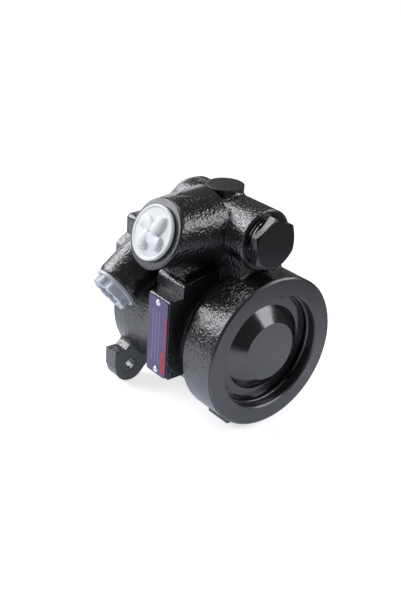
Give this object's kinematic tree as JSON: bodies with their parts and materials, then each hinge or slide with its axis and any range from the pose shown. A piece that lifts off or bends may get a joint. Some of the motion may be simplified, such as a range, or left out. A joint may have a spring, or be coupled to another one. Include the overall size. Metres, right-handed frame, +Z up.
{
  "type": "power steering pump",
  "caption": "Vane type power steering pump with a cast iron housing, a flow control valve, two capped ports, a sunk round cover and a tapered drive shaft.",
  "frame": {"origin": "middle of the locating spigot, in the plane of the mounting face, on the shaft's axis", "axes": "+Y along the shaft towards the drive end, +Z up towards the valve boss, -X towards the ports and the nameplate"},
  "size_m": [0.1238, 0.1425, 0.1438],
  "materials": {
    "cast_iron_painted": "semi-gloss black paint on cast iron",
    "cover_black": "semi-gloss black paint on turned steel",
    "steel": "ground steel",
    "spring_steel": "drawn spring steel",
    "zinc_steel": "bright zinc plated steel",
    "bronze": "sintered bronze",
    "seal_rubber": "black oil-proof rubber",
    "white_plastic": "soft white plastic",
    "clear_plastic": "bluish grey translucent plastic",
    "plate_violet": "bare printed aluminium plate",
    "copper": "sealing washer, painted over"
  },
  "bodies": {
    "pump_body": {"housing": "cast_iron_painted", "rear_cover": "cover_black", "cover_retaining_ring": "zinc_steel", "cover_seal_ring": "seal_rubber", "cartridge_disc_spring": "spring_steel", "pressure_plate": "steel", "pressure_plate_seal_ring": "seal_rubber", "rear_bush": "bronze", "cam_ring": "steel", "port_plate": "steel", "locating_pins": "steel", "front_bush": "bronze", "shaft_seal": "seal_rubber", "bearing_outer_race": "steel", "bearing_circlip": "spring_steel", "valve_plug": "cover_black", "plug_washer": "copper", "valve_spring": "spring_steel", "nameplate": "plate_violet", "nameplate_rivets": "steel"},
    "shaft_and_rotor": {"drive_shaft": "steel", "rotor": "steel", "rotor_circlip": "spring_steel", "woodruff_key": "steel", "lock_washer": "zinc_steel", "shaft_nut": "zinc_steel", "bearing_inner_race": "steel"},
    "vane_01_body": {"vane_01": "steel"},
    "vane_02_body": {"vane_02": "steel"},
    "vane_03_body": {"vane_03": "steel"},
    "vane_04_body": {"vane_04": "steel"},
    "vane_05_body": {"vane_05": "steel"},
    "vane_06_body": {"vane_06": "steel"},
    "vane_07_body": {"vane_07": "steel"},
    "vane_08_body": {"vane_08": "steel"},
    "vane_09_body": {"vane_09": "steel"},
    "vane_10_body": {"vane_10": "steel"},
    "bearing_ball_set": {"bearing_cage": "bronze", "bearing_balls": "steel"},
    "spool_body": {"flow_spool": "steel", "relief_screw": "steel", "relief_spring": "spring_steel"},
    "relief_ball_body": {"relief_ball": "steel"},
    "cap_a_body": {"port_cap_a": "white_plastic"},
    "cap_b_body": {"port_cap_b": "clear_plastic"}
  },
  "joints": [
    {"name": "shaft_turn", "type": "hinge", "parent": "pump_body", "child": "shaft_and_rotor", "pos_m": [0, 0, 0], "axis": [0, 1, 0], "continuous": true},
    {"name": "vane_01_slide", "type": "slide", "parent": "shaft_and_rotor", "child": "vane_01_body", "axis": [0.309, 0, 0.9511], "range_m": [-0.0008, 0.0004]},
    {"name": "vane_02_slide", "type": "slide", "parent": "shaft_and_rotor", "child": "vane_02_body", "axis": [0.809, 0, 0.5878], "range_m": [-0.0008, 0.00201]},
    {"name": "vane_03_slide", "type": "slide", "parent": "shaft_and_rotor", "child": "vane_03_body", "axis": [1, 0, 0], "range_m": [-0.0008, 0.00315]},
    {"name": "vane_04_slide", "type": "slide", "parent": "shaft_and_rotor", "child": "vane_04_body", "axis": [0.809, 0, -0.5878], "range_m": [-0.0008, 0.00201]},
    {"name": "vane_05_slide", "type": "slide", "parent": "shaft_and_rotor", "child": "vane_05_body", "axis": [0.309, 0, -0.9511], "range_m": [-0.0008, 0.0004]},
    {"name": "vane_06_slide", "type": "slide", "parent": "shaft_and_rotor", "child": "vane_06_body", "axis": [-0.309, 0, -0.9511], "range_m": [-0.0008, 0.0004]},
    {"name": "vane_07_slide", "type": "slide", "parent": "shaft_and_rotor", "child": "vane_07_body", "axis": [-0.809, 0, -0.5878], "range_m": [-0.0008, 0.00201]},
    {"name": "vane_08_slide", "type": "slide", "parent": "shaft_and_rotor", "child": "vane_08_body", "axis": [-1, 0, 0], "range_m": [-0.0008, 0.00315]},
    {"name": "vane_09_slide", "type": "slide", "parent": "shaft_and_rotor", "child": "vane_09_body", "axis": [-0.809, 0, 0.5878], "range_m": [-0.0008, 0.00201]},
    {"name": "vane_10_slide", "type": "slide", "parent": "shaft_and_rotor", "child": "vane_10_body", "axis": [-0.309, 0, 0.9511], "range_m": [-0.0008, 0.0004]},
    {"name": "bearing_cage_turn", "type": "hinge", "parent": "pump_body", "child": "bearing_ball_set", "pos_m": [0, -0.005, 0], "axis": [0, 1, 0], "continuous": true},
    {"name": "spool_slide", "type": "slide", "parent": "pump_body", "child": "spool_body", "axis": [0, 1, 0], "range_m": [0, 0.012], "stiffness_N_per_m": 2000, "springref_m": -0.005, "deforming": ["valve_spring"]},
    {"name": "relief_ball_lift", "type": "slide", "parent": "spool_body", "child": "relief_ball_body", "axis": [0, 1, 0], "range_m": [0, 0.001], "stiffness_N_per_m": 50, "springref_m": -0.002, "deforming": ["relief_spring"]},
    {"name": "cap_a_pull", "type": "slide", "parent": "pump_body", "child": "cap_a_body", "axis": [-0.9135, 0, 0.4067], "range_m": [0, 0.06]},
    {"name": "cap_b_pull", "type": "slide", "parent": "pump_body", "child": "cap_b_body", "axis": [-0.8192, 0, -0.5736], "range_m": [0, 0.06]}
  ],
  "couplings": [
    {"joint": "bearing_cage_turn", "follows": "shaft_turn", "ratio": 0.3836}
  ]
}
